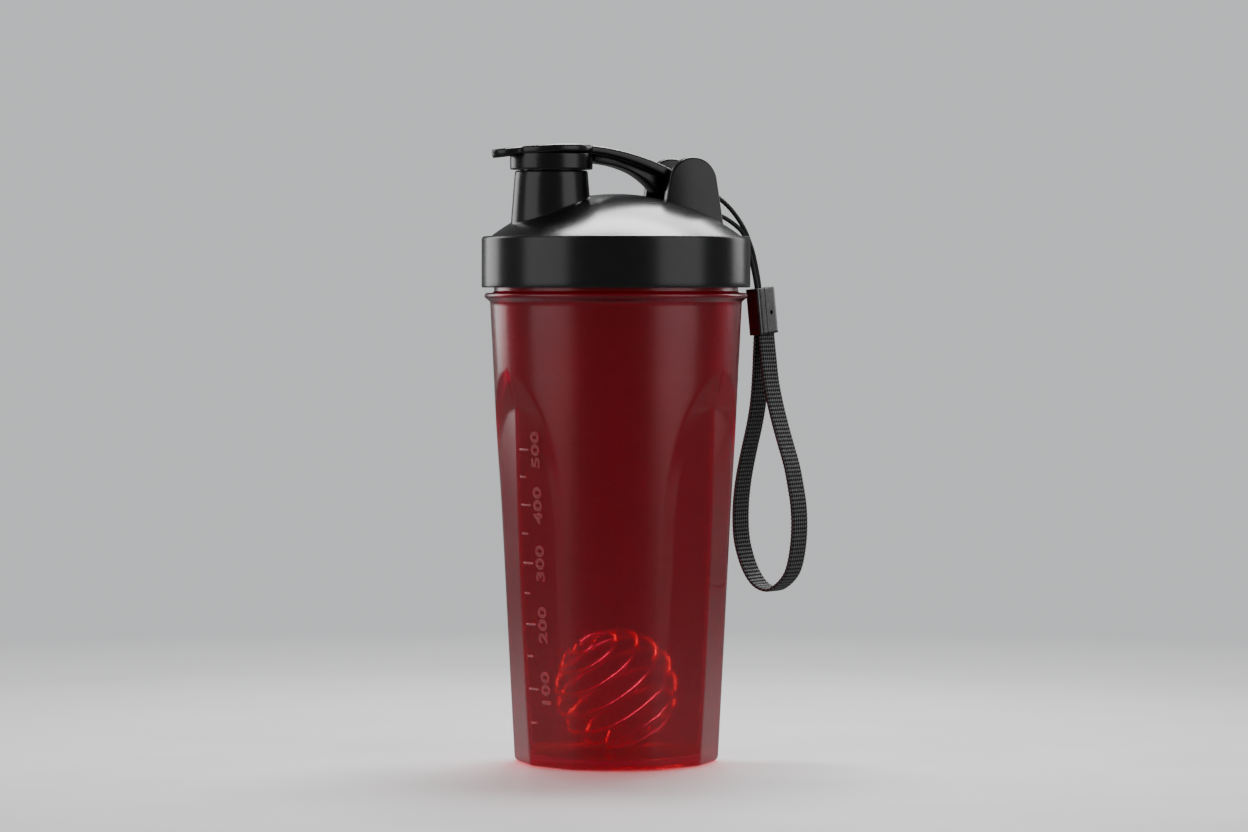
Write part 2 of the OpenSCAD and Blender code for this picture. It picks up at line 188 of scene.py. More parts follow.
def add(name, shells, material, body, replaces, crease=32, uv=None):
    """One object from closed shells given in millimetres."""
    bm = bmesh.new()
    for verts, faces in shells:
        made = [bm.verts.new([c * MM for c in v]) for v in verts]
        for f in faces:
            bm.faces.new([made[i] for i in f])
    bmesh.ops.recalc_face_normals(bm, faces=bm.faces)
    mesh = bpy.data.meshes.new(name)
    bm.to_mesh(mesh)
    bm.free()
    obj = bpy.data.objects.new(name, mesh)
    scene.collection.objects.link(obj)
    finish_mesh(obj, material, crease)
    if uv is not None:
        layer = mesh.uv_layers.new(name="run")
        index = np.empty(len(mesh.loops), int)
        mesh.loops.foreach_get("vertex_index", index)
        layer.data.foreach_set("uv", np.asarray(uv, float)[index].ravel())
    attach(obj, body)
    if replaces:
        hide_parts(replaces)
    return obj


def finish_mesh(obj, material, crease):
    """One material, and smooth shading between creases sharper than crease degrees."""
    obj.data.materials.clear()
    obj.data.materials.append(material)
    obj.data.polygons.foreach_set("use_smooth", [True] * len(obj.data.polygons))
    obj.data.set_sharp_from_angle(angle=radians(crease))


def cut_out(obj, shell):
    """Cuts a closed shell out of an object."""
    verts, faces = shell
    mesh = bpy.data.meshes.new("cutter")
    mesh.from_pydata([[c * MM for c in v] for v in verts], [], faces)
    bm = bmesh.new()
    bm.from_mesh(mesh)
    bmesh.ops.recalc_face_normals(bm, faces=bm.faces)
    bm.to_mesh(mesh)
    bm.free()
    cutter = bpy.data.objects.new("cutter", mesh)
    scene.collection.objects.link(cutter)
    change = obj.modifiers.new("cut", "BOOLEAN")
    change.operation = "DIFFERENCE"
    change.solver = "EXACT"
    change.object = cutter
    depsgraph = bpy.context.evaluated_depsgraph_get()
    result = bpy.data.meshes.new_from_object(obj.evaluated_get(depsgraph))
    obj.modifiers.clear()
    old = obj.data
    obj.data = result
    bpy.data.meshes.remove(old)
    bpy.data.objects.remove(cutter)
    bpy.data.meshes.remove(mesh)


# ---------- materials ----------


class Shader:
    """A material on one Principled shader. Constants go straight onto its sockets."""

    def __init__(self, name, **constants):
        self.material = bpy.data.materials.new(name)
        self.material.use_nodes = True
        self.tree = self.material.node_tree
        self.shader = self.tree.nodes["Principled BSDF"]
        for key, value in constants.items():
            self.shader.inputs[key.replace("_", " ")].default_value = value

    def node(self, kind, values=(), **settings):
        made = self.tree.nodes.new(kind)
        for key, value in settings.items():
            setattr(made, key, value)
        for key, value in dict(values).items():
            if isinstance(value, bpy.types.NodeSocket):
                self.tree.links.new(value, made.inputs[key])
            else:
                made.inputs[key].default_value = value
        return made

    def place(self, stretch=(1, 1, 1), run=False):
        """Where a point is, in millimetres: in the object, or along and across a strip."""
        if run:
            source = self.node("ShaderNodeUVMap", uv_map="run").outputs["UV"]
            scale = stretch
        else:
            source = self.node("ShaderNodeTexCoord").outputs["Object"]
            scale = [s / MM for s in stretch]
        return self.node("ShaderNodeMapping", {"Vector": source, "Scale": scale}).outputs["Vector"]

    def noise(self, size, detail=3, stretch=(1, 1, 1), run=False):
        """Noise with lumps of about size millimetres."""
        return self.node(
            "ShaderNodeTexNoise",
            {"Vector": self.place(stretch, run), "Scale": 1 / size, "Detail": detail},
        ).outputs["Fac"]

    def ramp(self, source, *stops):
        """Colours or grey values at places from 0 to 1."""
        made = self.node("ShaderNodeValToRGB", {"Fac": source})
        marks = made.color_ramp.elements
        while len(marks) < len(stops):
            marks.new(0.5)
        for mark, (place, colour) in zip(marks, stops):
            mark.position = place
            mark.color = (*((colour,) * 3 if isinstance(colour, (int, float)) else colour), 1)
        return made.outputs["Color"]

    def vary(self, socket, source, low, high):
        """Drives a socket between two colours or values with noise."""
        self.set(socket, self.ramp(source, (0.3, low), (0.7, high)))

    def math(self, operation, a, b=0.0):
        return self.node("ShaderNodeMath", {0: a, 1: b}, operation=operation).outputs[0]

    def set(self, socket, source):
        self.tree.links.new(source, self.shader.inputs[socket])

    def let_lamps_through(self, tint):
        """Light from the lamps reaches what is inside, tinted at each surface, as through a thin wall."""
        clear = self.node("ShaderNodeBsdfTransparent", {"Color": (*tint, 1)})
        lamp = self.node("ShaderNodeLightPath").outputs["Is Shadow Ray"]
        both = self.node(
            "ShaderNodeMixShader", {0: lamp, 1: self.shader.outputs[0], 2: clear.outputs[0]}
        )
        output = self.tree.nodes["Material Output"]
        self.tree.links.new(both.outputs[0], output.inputs["Surface"])

    def bump(self, *layers, socket="Normal"):
        """Bump from layers of (height, depth in millimetres)."""
        before = None
        for height, depth in layers:
            values = {"Height": height, "Distance": depth * MM, "Strength": 1.0}
            if before:
                values["Normal"] = before
            before = self.node("ShaderNodeBump", values).outputs["Normal"]
        self.set(socket, before)


def cup_material():
    """Frosted plastic: a faint refraction blurs what is inside; a rough coat has the broad highlights."""
    s = Shader(
        "cup_frosted_red",
        IOR=1.14,
        Transmission_Weight=0.88,
        Coat_Weight=1.0,
        Coat_Roughness=0.26,
        Coat_IOR=1.45,
    )
    s.vary("Base Color", s.noise(9, 4), (0.47, 0.0035, 0.036), (0.51, 0.005, 0.042))
    s.vary("Roughness", s.noise(1.4, 5), 0.14, 0.17)
    s.bump((s.noise(0.4, 3), 0.002), (s.noise(14, 2), 0.01), socket="Coat Normal")
    s.let_lamps_through((0.92, 0.45, 0.5))
    return s.material


def mark_material():
    """The cup's plastic on the thin raised marks, painted paler than the cup: a painted highlight along
    them.
    """
    s = Shader("cup_marks_painted_highlight", IOR=1.14, Transmission_Weight=0.7, Coat_Weight=0.9, Coat_Roughness=0.25)
    # Painted highlight: the pale pink stands in for the light the marks catch; they are the cup's red
    # plastic.
    s.vary("Base Color", s.noise(3, 3), (0.84, 0.28, 0.31), (0.90, 0.34, 0.37))
    s.vary("Roughness", s.noise(0.8, 3), 0.2, 0.26)
    return s.material


def lid_material():
    s = Shader("lid_satin_black", IOR=1.5)
    s.vary("Base Color", s.noise(6, 4), (0.0045, 0.0045, 0.0048), (0.0065, 0.0065, 0.0068))
    s.vary("Roughness", s.noise(0.8, 4), 0.21, 0.26)
    s.bump((s.noise(0.22, 3), 0.004), (s.noise(0.6, 2), 0.003))
    return s.material


def cap_material():
    s = Shader("cap_gloss_black", IOR=1.5)
    s.vary("Base Color", s.noise(5, 4), (0.003, 0.003, 0.0032), (0.0045, 0.0045, 0.0048))
    s.vary("Roughness", s.noise(1.2, 4), 0.22, 0.28)
    s.bump((s.noise(0.3, 3), 0.003), (s.noise(5, 2), 0.01))
    return s.material


def silicone_material():
    s = Shader("silicone_grey", IOR=1.41, Subsurface_Weight=0.2, Subsurface_Scale=0.001)
    s.vary("Base Color", s.noise(2, 4), (0.36, 0.355, 0.345), (0.41, 0.405, 0.395))
    s.vary("Roughness", s.noise(0.5, 3), 0.5, 0.6)
    s.bump((s.noise(0.2, 3), 0.008))
    return s.material


def steel_material(name):
    s = Shader(name, Metallic=1.0, IOR=2.5)
    s.vary("Base Color", s.noise(1.5, 4), (0.80, 0.795, 0.79), (0.86, 0.855, 0.85))
    s.vary("Roughness", s.noise(0.3, 4), 0.14, 0.24)
    s.bump((s.noise(0.12, 2), 0.002))
    return s.material


def clasp_material():
    s = Shader("clasp_black_nickel", Metallic=1.0, IOR=2.5)
    s.vary("Base Color", s.noise(3, 4), (0.085, 0.084, 0.083), (0.115, 0.113, 0.112))
    s.set("Roughness", s.ramp(s.noise(0.25, 5, (1, 1, 0.08)), (0.25, 0.22), (0.75, 0.28)))
    s.bump((s.noise(0.15, 3, (1, 1, 0.05)), 0.0008))
    return s.material


def cord_material():
    s = Shader("cord_black_braid", Sheen_Weight=0.06, Sheen_Roughness=0.4)
    strands = s.noise(0.12, 3, (0.25, 1, 1), run=True)
    s.vary("Base Color", strands, (0.004, 0.004, 0.0042), (0.012, 0.012, 0.0125))
    s.vary("Roughness", strands, 0.5, 0.68)
    s.bump((strands, 0.03))
    return s.material


def webbing_material():
    """Raised ribs cross the webbing, and the threads that run along it break them into dots. Its colour
    follows the same height: a painted highlight on the raised tops and painted shade in the hollows.
    """
    s = Shader("webbing_black_woven", Sheen_Weight=0.03, Sheen_Roughness=0.35, Specular_IOR_Level=0.25)
    where = s.node("ShaderNodeSeparateXYZ", {"Vector": s.place(run=True)})
    thread = s.math("SINE", s.math("MULTIPLY", where.outputs["Y"], 2 * pi / THREAD_PITCH))
    rib = s.math("COSINE", s.math("MULTIPLY", where.outputs["X"], 2 * pi / RIB_PITCH))
    fibre = s.noise(0.1, 3, (1, 0.3, 1), run=True)
    weave = s.math("ADD", s.math("MULTIPLY", rib, -WEAVE_RELIEF), s.math("MULTIPLY", thread, WEAVE_RELIEF))
    height = s.math("ADD", s.math("ADD", weave, s.math("MULTIPLY", fibre, 0.2)), 0.42)
    # Painted highlight and painted shade: the base colour is lighter on the raised tops and near black in
    # the hollows.
    s.set("Base Color", s.ramp(height, (0.42, (0.0005, 0.0005, 0.0006)), (0.86, (0.085, 0.085, 0.087))))
    s.set("Roughness", s.ramp(height, (0.2, 0.85), (0.8, 0.42)))
    s.bump((height, 0.3))
    return s.material


# ---------- wrist strap: cord, webbing and clasp ----------

CORD_D, CORD_CORE_R = 1.8, 0.52
# Eight flat strands, four each way round the core
STRAND_R, STRAND_WEAVE, STRAND_LEAD = 0.6, 0.1, 6.5
STRAND_W, STRAND_T = 0.43, 0.2
WEB_W, WEB_T = 10.6, 1.3
RIB_PITCH, THREAD_PITCH, WEAVE_RELIEF = 1.5, 1.4, 0.27
WEB_DIR = radians(37)
WEB_FOOT = (58.3, -1)
# Distance along the loop's plane, and height
WEB_ROUTE = [
    (-0.9, 161), (-0.9, 157.5), (-1.3, 150), (-1.6, 143), (-2.4, 133), (-4, 124), (-6.3, 115),
    (-8.6, 105), (-9.9, 96), (-10.2, 88), (-9.7, 81), (-8.1, 75), (-5.8, 69.5), (-2.5, 65), (0.7, 63),
    (4.3, 62.3), (7.7, 64), (10.7, 66.7), (12.8, 70), (14.2, 75), (15.1, 81), (15.4, 88), (14.9, 95),
    (13.8, 101), (12.2, 108.5), (9.7, 116), (7.1, 124), (4.8, 132), (3, 140), (2, 148), (0.9, 157.5),
    (0.9, 161),
]
CORD_ROUTE = [
    (57, -0.3, 170.5), (56.7, -0.3, 174.5), (56, -0.5, 179), (55, -0.6, 183.7), (53.8, -0.7, 188.4),
    (52.4, -0.8, 192.1), (51, -0.8, 195.5), (49, -0.8, 198.9), (46.8, -0.8, 201.9), (44.4, -0.8, 204.6),
    (41.4, -0.8, 207.2), (37.6, -0.8, 209.8), (33.5, -0.8, 210.6), (30.9, -0.8, 209.6),
    (29.9, -0.8, 207), (30.9, -0.8, 204.4), (33.5, -0.8, 203.4), (37, -0.8, 202.9), (40.6, -0.9, 201.6),
    (44, -0.9, 199.9), (47, -1, 197.8), (49.6, -1.1, 195.3), (51.2, -1.2, 191.6), (52.4, -1.3, 187.6),
    (53.5, -1.4, 183.2), (54.4, -1.5, 179), (55.1, -1.7, 174.5), (55.4, -1.7, 170.5),
]
CLASP_W, CLASP_T, CLASP_H = 12.6, 5.8, 17.2
CLASP_WALL, CLASP_BEND = 0.8, 1.2
CLASP_CENTRE, CLASP_TILT = (57.5, -1, 166.1), radians(5.5)
# The seam's two edges, and the punched hole's place and radius
CLASP_SEAM = (-1.7, -1.2)
CLASP_HOLE, CLASP_HOLE_R = (1.9, -0.8), 0.9


def braided_cord():
    """The cord, its centre line and its length."""
    line, at = resample(CORD_ROUTE, step=0.3)
    t = directions(line)
    side = np.tile((0.0, 1.0, 0.0), (len(line), 1))
    up = np.cross(side, t)
    up /= np.linalg.norm(up, axis=1)[:, None]
    side = np.cross(t, up)
    core_sides, strand_sides, uv_step = 10, 8, 0.3
    shells = [tube(line, side, CORD_CORE_R, CORD_CORE_R, core_sides)]
    uv = [(a, uv_step * k) for a in at for k in range(core_sides)]
    for way in (1, -1):
        for k in range(4):
            turn = way * 2 * pi * at / STRAND_LEAD + k * pi / 2
            r = STRAND_R + way * STRAND_WEAVE * np.cos(8 * pi * at / STRAND_LEAD)
            out = np.cos(turn)[:, None] * side + np.sin(turn)[:, None] * up
            strand = line + r[:, None] * out
            flat = np.cross(directions(strand), out)
            shells.append(tube(strand, flat, STRAND_W, STRAND_T, strand_sides))
            uv += [(a, uv_step * j + 3 * k) for a in at for j in range(strand_sides)]
    obj = add("cord_braid", shells, cord_material(), "strap", "strap_cord", 60, uv)
    return obj, line, at[-1]


def woven_webbing():
    """The webbing, its centre line and its length. Its edges and its thickness swell at each rib."""
    plane = np.array((cos(WEB_DIR - pi / 2), sin(WEB_DIR - pi / 2), 0))
    width = np.array((cos(WEB_DIR), sin(WEB_DIR), 0))
    control = [np.array((*WEB_FOOT, z)) + s * plane for s, z in WEB_ROUTE]
    line, at = resample(control, step=0.25, ease=60)
    t = directions(line)
    up = np.cross(width, t)
    swell = 0.12
    half = WEB_W / 2 - swell
    faces_across = np.linspace(-1, 1, 15)
    rings, uv = [], []
    for p, u, a in zip(line, up, at):
        rib = abs(sin(pi * a / RIB_PITCH))
        edge = half + swell * rib
        thick = WEB_T / 2 * (0.8 + 0.2 * rib)
        top = [(q * edge * 0.965, thick * (1 - 0.12 * q**8)) for q in faces_across]
        section = top + [(edge, 0.45 * thick), (edge, -0.45 * thick)]
        section += [(x, -y) for x, y in top[::-1]]
        section += [(-edge, -0.45 * thick), (-edge, 0.45 * thick)]
        rings.append([p + x * width + y * u for x, y in section])
        uv += [(a, x) for x, _ in section]
    look = webbing_material()
    obj = add("webbing_loop", [skin(rings)], look, "strap", "strap_webbing", 75, uv)
    return obj, line, at[-1]


def folded_clasp():
    """Sheet metal bent round the strap's ends, with a seam and a punched hole on its front."""
    hx, hy = (CLASP_W - CLASP_WALL) / 2, (CLASP_T - CLASP_WALL) / 2
    r = CLASP_BEND - CLASP_WALL / 2
    left, right = CLASP_SEAM
    path = [(right, -hy), (right + 0.15, -hy), (1.6, -hy), (4, -hy)]
    for cx, cy, start in (
        (hx - r, r - hy, -90), (hx - r, hy - r, 0), (r - hx, hy - r, 90), (r - hx, r - hy, 180)
    ):
        path += arc(cx, cy, r, start, start + 90, 7)
    path += [(-4, -hy), (-2.9, -hy), (left - 0.15, -hy), (left, -hy)]
    path = np.array(path)
    t = directions(path)
    out = np.stack([t[:, 1], -t[:, 0]], 1)

    def ring(z, shrink):
        """Both faces of the sheet at one height, thinner by shrink, and thinner still at the seam."""
        depth = np.full(len(path), CLASP_WALL / 2 - shrink)
        depth[[0, -1]] -= 0.12
        outer, inner = path + depth[:, None] * out, path - depth[:, None] * out
        return np.column_stack([np.vstack([outer, inner[::-1]]), np.full(2 * len(path), z)])

    half = CLASP_H / 2
    edge = [(0, 0.18), (0.06, 0.06), (0.18, 0)]
    rings = [ring(rise - half, shrink) for rise, shrink in edge]
    rings += [ring(z, 0) for z in np.linspace(1 - half, half - 1, 12)]
    rings += [ring(half - rise, shrink) for rise, shrink in edge[::-1]]
    verts, faces = skin(rings)
    n = 2 * len(path)
    # skin() closes each end by one face; the sheet's ends are bands of four-sided faces instead
    faces = [f for f in faces if len(f) < n]
    for base in (0, (len(rings) - 1) * n):
        for i in range(len(path) - 1):
            faces.append([base + i, base + i + 1, base + n - 2 - i, base + n - 1 - i])

    def placed(v):
        x = v[0] * cos(WEB_DIR) - v[1] * sin(WEB_DIR)
        y = v[0] * sin(WEB_DIR) + v[1] * cos(WEB_DIR)
        return (
            CLASP_CENTRE[0] + x * cos(CLASP_TILT) - v[2] * sin(CLASP_TILT),
            CLASP_CENTRE[1] + y,
            CLASP_CENTRE[2] + x * sin(CLASP_TILT) + v[2] * cos(CLASP_TILT),
        )

    look = clasp_material()
    shell = [placed(v) for v in verts], faces
    obj = add("clasp", [shell], look, "strap", "strap_clasp")
    hole_x, hole_z = CLASP_HOLE
    verts, faces = lathe([(0, 0.6), (CLASP_HOLE_R, 0.6), (CLASP_HOLE_R, 4), (0, 4)], segments=32)
    cut_out(obj, ([placed((hole_x + a, -h, hole_z + b)) for a, b, h in verts], faces))
    finish_mesh(obj, look, 30)
    return obj


cord, cord_line, cord_length = braided_cord()
webbing, web_line, web_length = woven_webbing()
clasp = folded_clasp()

# ---------- cup ----------

# A panel's outline and its flat facets narrow from one height up to a peak
PEAK_Z, INNER_PEAK_Z, OUTLINE_FULL_Z, INNER_FULL_Z = 144.3, 131.5, 90, 85
PANEL_DIRS = [-171.2, -51.2, 68.8]
FACET_TILT, CREASE_R = 12.5, 0.38
FLOOR_Z, RIM_Z, NECK_R, MOUTH_R, BEAD_R = 3.2, 189, 45, 43.2, 48.5
FLOOR_FILLET, WALL, WALL_TOP_Z = 2.4, 2, 169.6
CAVITY_R, CAVITY_SLOPE = 35.9, 0.0469
# Two-start screw thread on the cup's neck and in the lid
THREAD_LEAD, THREAD_STARTS = 8, (0, 180)
NECK_THREAD_Z, NECK_THREAD_H = 176.8, 1.7
LID_THREAD_Z, LID_THREAD_H = 178.8, 1.6


def wall_r(z):
    """Radius of the cup's outer cone."""
    return 38 + 0.0496 * z


def outline_a(z):
    """Half the angle that a panel takes up."""
    q = np.clip((z - OUTLINE_FULL_Z) / (PEAK_Z - OUTLINE_FULL_Z), 0, 1)
    return (37.6 - 0.02 * z) * (1 - q * q) ** 0.55


def facet_a(z):
    """Half the angle that a panel's two flat facets take up."""
    q = np.clip((z - INNER_FULL_Z) / (INNER_PEAK_Z - INNER_FULL_Z), 0, 1)
    return (33.4 - 0.07 * np.minimum(z, 75)) * (1 - q * q) ** 0.45


def facet_tilt(z):
    return FACET_TILT - 5.5 * np.clip((z - INNER_FULL_Z) / (INNER_PEAK_Z - INNER_FULL_Z), 0, 1)


def ridge_r(z):
    """Radius of the ridge between a panel's facets."""
    return 35.92 + 0.0703 * z - 0.000178 * z * z


ANGLE_STEP, HEIGHT_STEP, MM_PER_DEGREE = 0.25, 0.3, 0.68


def panel_depths():
    """How far a panel lies below the cone, by angle from its middle and by height.

    Every crease is rounded by blurring the depths in both directions.
    """
    angle = np.arange(-70, 70.01, ANGLE_STEP)
    height = np.arange(-6, 160.01, HEIGHT_STEP)
    depth = np.zeros((len(height), len(angle)))
    a = np.abs(angle)
    for row, z in enumerate(height):
        if z >= PEAK_Z:
            continue
        z = max(z, -3)
        outer, inner, tilt, wall = outline_a(z), facet_a(z), facet_tilt(z), wall_r(z)
        if z < INNER_PEAK_Z:
            centre = ridge_r(z)
        else:
            f = (z - INNER_PEAK_Z) / (PEAK_Z - INNER_PEAK_Z)
            centre = ridge_r(INNER_PEAK_Z) * (1 - f) + wall_r(PEAK_Z) * f
        if inner > 0.3 * outer:
            r1 = ridge_r(z) * cos(radians(tilt)) / cos(radians(inner - tilt))
        else:
            inner, r1 = 0.0, centre
        p1 = np.array((r1 * cos(radians(inner)), r1 * sin(radians(inner))))
        p2 = wall * np.array((cos(radians(outer)), sin(radians(outer))))
        v = p2 - p1
        c, s = np.cos(np.radians(a)), np.sin(np.radians(a))
        slope = (p1[0] * p2[1] - p1[1] * p2[0]) / (c * v[1] - s * v[0])
        facet = ridge_r(z) * cos(radians(tilt)) / np.cos(np.radians(a - tilt))
        r = np.where(a <= inner, facet, np.where(a < outer, slope, wall))
        depth[row] = wall - np.minimum(r, wall)
    for axis, step in ((0, HEIGHT_STEP), (1, ANGLE_STEP * MM_PER_DEGREE)):
        sigma = CREASE_R / step
        reach = int(3 * sigma) + 1
        kernel = np.exp(-0.5 * (np.arange(-reach, reach + 1) / sigma) ** 2)
        kernel /= kernel.sum()

        def blurred(row):
            return np.convolve(np.pad(row, reach, "edge"), kernel, "valid")

        depth = np.apply_along_axis(blurred, axis, depth)
    return angle, height, depth


DEPTH_ANGLE, DEPTH_Z, DEPTH = panel_depths()


def depth_at(a, z):
    """Depth below the cone at arrays of angles from a panel's middle and of heights."""
    x = np.clip((a - DEPTH_ANGLE[0]) / ANGLE_STEP, 0, len(DEPTH_ANGLE) - 1.001)
    y = np.clip((z - DEPTH_Z[0]) / HEIGHT_STEP, 0, len(DEPTH_Z) - 1.001)
    i, j = x.astype(int), y.astype(int)
    u, v = x - i, y - j
    return (
        DEPTH[j, i] * (1 - u) * (1 - v)
        + DEPTH[j, i + 1] * u * (1 - v)
        + DEPTH[j + 1, i] * (1 - u) * v
        + DEPTH[j + 1, i + 1] * u * v
    )


def columns(z):
    """Angles from a panel's middle that follow its ridge, facet edge and outline, and close in on each."""

    def between(a, b, n, ends):
        t = np.linspace(0, 1, n, endpoint=False)
        return a + (b - a) * ((1 - ends) * t + ends * (0.5 - 0.5 * np.cos(pi * t)))

    inner = max(float(facet_a(z)), 2.5)
    outer = max(float(outline_a(z)), inner + 3)
    if z > PEAK_Z - 1:
        outer += (z - PEAK_Z + 1) * 0.6
    outer = min(outer, 40)
    spans = [between(0, inner, 10, 0.8), between(inner, outer, 9, 0.8), between(outer, 60, 10, 0.55)]
    half = np.concatenate(spans)
    return np.concatenate([-half[:0:-1], half])


def thread_fade(f):
    """Height of a thread, from 0 to 1, at a part f of its turn: it runs out at both ends."""
    return np.minimum(1, np.minimum(10 * f + 0.15, 10 * (1 - f) + 0.15))


def cup_shell():
    """The cup as one closed skin: under the base, up the outside, over the rim and down the inside."""
    rings = []

    def ring(rel, r, z):
        """One ring: angles from the panel's middle, radii and heights, the same for each panel."""
        made = []
        for d in PANEL_DIRS:
            a = np.radians(d + rel)
            made.append(np.stack([r * np.cos(a), r * np.sin(a), np.broadcast_to(z, rel.shape)], 1))
        rings.append(np.vstack(made))

    low = columns(0)
    one = np.ones_like(low)
    under = [(0, 1.2), (12, 1.2), (24, 1.2), (29.8, 1.2), (30.1, 1.1), (30.9, 0.25), (31.2, 0.06), (31.6, 0)]
    for r, z in under:
        ring(low, r * one, z)
    fillet = 2 - 0.9 * np.clip(depth_at(low, one * 1.5) / 1.2, 0, 1)
    for turn in np.radians(np.linspace(0, 80, 8)):
        z = fillet * (1 - np.cos(turn))
        ring(low, wall_r(z) - depth_at(low, z) - fillet * (1 - np.sin(turn)), z)
    levels = np.concatenate(
        [
            np.arange(2.2, 84, 2.6), np.arange(84, 128, 1.0), np.arange(128, 138, 0.7),
            np.arange(138, 147, 0.4), np.arange(147, 169.5, 3), [169.3],
        ]
    )
    for z in levels:
        rel = columns(z)
        ring(rel, wall_r(z) - depth_at(rel, z * np.ones_like(rel)), z)
    top = columns(WALL_TOP_Z)
    one = np.ones_like(top)
    top_r, bead = wall_r(WALL_TOP_Z), 1.1
    neck = [(top_r + 0.12, WALL_TOP_Z + 0.05), (top_r + 0.45, WALL_TOP_Z + 0.35)]
    neck += arc(BEAD_R - bead, 171.8, bead, -62, 90, 12)
    neck += [(NECK_R + 0.7, 172.95), (NECK_R + 0.2, 173.15), (NECK_R, 173.5)]
    for r, z in neck:
        ring(top, r * one, z)
    turns = np.concatenate([d + top for d in PANEL_DIRS])
    a = np.radians(turns)
    for z in np.arange(173.8, 188.1, 0.26):
        out = np.zeros(len(turns))
        for start in THREAD_STARTS:
            f = ((turns - start) % 360) / 360
            away = np.abs(z - (NECK_THREAD_Z + THREAD_LEAD * f))
            out = np.maximum(out, NECK_THREAD_H * thread_fade(f) * np.clip((1.1 - away) / 0.6, 0, 1))
        r = NECK_R + out
        rings.append(np.stack([r * np.cos(a), r * np.sin(a), np.full(len(a), z)], 1))
    outer, inner = 0.8, 0.5
    lip = arc(NECK_R - outer, RIM_Z - outer, outer, 0, 90, 5)
    lip += arc(MOUTH_R + inner, RIM_Z - inner, inner, 90, 180, 5)
    for r, z in lip:
        ring(top, r * one, z)
    for z in (185, 180, 175, 170):
        ring(top, MOUTH_R * one, z)

    def inside(rel, z):
        """Inner radius: the cone of the cavity, pushed in behind each panel."""
        cone = CAVITY_R + CAVITY_SLOPE * (z - FLOOR_Z - FLOOR_FILLET)
        behind = wall_r(z) - depth_at(rel, z) - WALL * np.cos(np.radians(rel))
        gap = cone - behind
        return cone - 0.5 * (gap + np.sqrt(gap * gap + 0.09)) + 0.02

    for z in levels[::-1]:
        if z > 166 or z < 8:
            continue
        rel = columns(z)
        ring(rel, inside(rel, z * np.ones_like(rel)), z)
    for turn in np.radians(np.linspace(6, 90, 7)):
        z = FLOOR_Z + FLOOR_FILLET * (1 - sin(turn))
        ring(low, inside(low, z * np.ones_like(low)) - FLOOR_FILLET * (1 - cos(turn)), z)
    for r in (27, 14, 0):
        ring(low, r * np.ones_like(low), FLOOR_Z)
    return skin(rings)


def level(ml):
    """Height of the liquid at a volume, in a plain cone that holds as much as the panelled cavity."""
    r, slope = 34.9, 0.047
    return FLOOR_Z + ((3 * slope * ml * 1000 / pi + r**3) ** (1 / 3) - r) / slope


def on_facet(z, aside, proud):
    """A point of the marked facet: height, distance from the ridge, and how proud of the surface."""
    tilt = radians(FACET_TILT)
    rel = degrees(atan2(aside * cos(tilt), ridge_r(z) + aside * sin(tilt)))
    rel_a, z_a = np.array([rel]), np.array([z])
    r = float((wall_r(z_a) - depth_at(rel_a, z_a))[0]) + proud
    a = radians(PANEL_DIRS[0] + rel)
    return (r * cos(a), r * sin(a), z)


MARK_ASIDE, MARK_LONG, MARK_SHORT = 2.5, 6, 3.4
MARK_HALF_W, MARK_H = 0.4, 0.35
NUMERAL_SIZE, NUMERAL_BEAD_R, NUMERAL_ASIDE = 8.2, 0.26, 16.2


def measuring_marks():
    """Raised ticks with rounded ends every 50 ml, longer at each 100 ml."""
    shells = []
    for i in range(1, 11):
        z, long = level(50 * i), MARK_SHORT if i % 2 else MARK_LONG
        rings = []
        for x in np.linspace(MARK_ASIDE, MARK_ASIDE + long, 9):
            end = min(1, 0.45 + min(x - MARK_ASIDE, MARK_ASIDE + long - x) / 0.3)
            h, top = MARK_HALF_W * end, MARK_H * end
            section = [(-h, -0.3), (-h, 0.6 * top), (-0.7 * h, 0.92 * top), (0, top)]
            section += [(-dz, up) for dz, up in section[2::-1]]
            rings.append([on_facet(z + dz, x, up) for dz, up in section])
        shells.append(skin(rings))
    return shells


def numerals():
    """Outlines of plain numerals every 100 ml, as thin beads that run up the facet."""
    shells = []
    for i in range(1, 6):
        data = bpy.data.curves.new("numeral", "FONT")
        data.body = str(100 * i)
        data.size = NUMERAL_SIZE
        data.align_x = "CENTER"
        data.fill_mode = "NONE"
        data.bevel_depth = NUMERAL_BEAD_R
        data.bevel_resolution = 1
        data.resolution_u = 5
        data.space_character = 1.12
        text = bpy.data.objects.new("numeral", data)
        scene.collection.objects.link(text)
        depsgraph = bpy.context.evaluated_depsgraph_get()
        mesh = bpy.data.meshes.new_from_object(text.evaluated_get(depsgraph))
        z = level(100 * i)
        verts = [on_facet(z + v.co.x, NUMERAL_ASIDE - v.co.y, 0.02 + v.co.z) for v in mesh.vertices]
        shells.append((verts, [list(p.vertices) for p in mesh.polygons]))
        bpy.data.objects.remove(text)
        bpy.data.curves.remove(data)
        bpy.data.meshes.remove(mesh)
    return shells


add("cup_moulded", [cup_shell()], cup_material(), "cup_body", "cup", 50)
add(
    "cup_measuring_marks", measuring_marks() + numerals(),
    mark_material(), "cup_body", None, 50,
)

# ---------- lid ----------

SKIRT_R, SKIRT_Z, SKIRT_TOP_Z, SKIRT_IN_R = 49.5, 174.8, 193.7, 47.2
FLANGE_Z, DOME_R, DOME_TOP_Z, DOME_EDGE_R = 190.9, 76, 209.3, 47.3
SPOUT_X, SPOUT_R, SPOUT_BORE, SPOUT_Z, SPOUT_FLARE = -25.2, 13.35, 10.6, 217.6, 2.1
PIN_X, PIN_Z, PIN_R = 25.6, 213.5, 1.5
EAR_OUT, EAR_T, EAR_R, EAR_Z, EAR_FOOT_Z, EAR_FLARE = 13.3, 4, 9.35, 213.4, 193.4, 9
BAR_X, BAR_Z, BAR_R, BAR_HALF = 33.5, 207, 2, 10.5


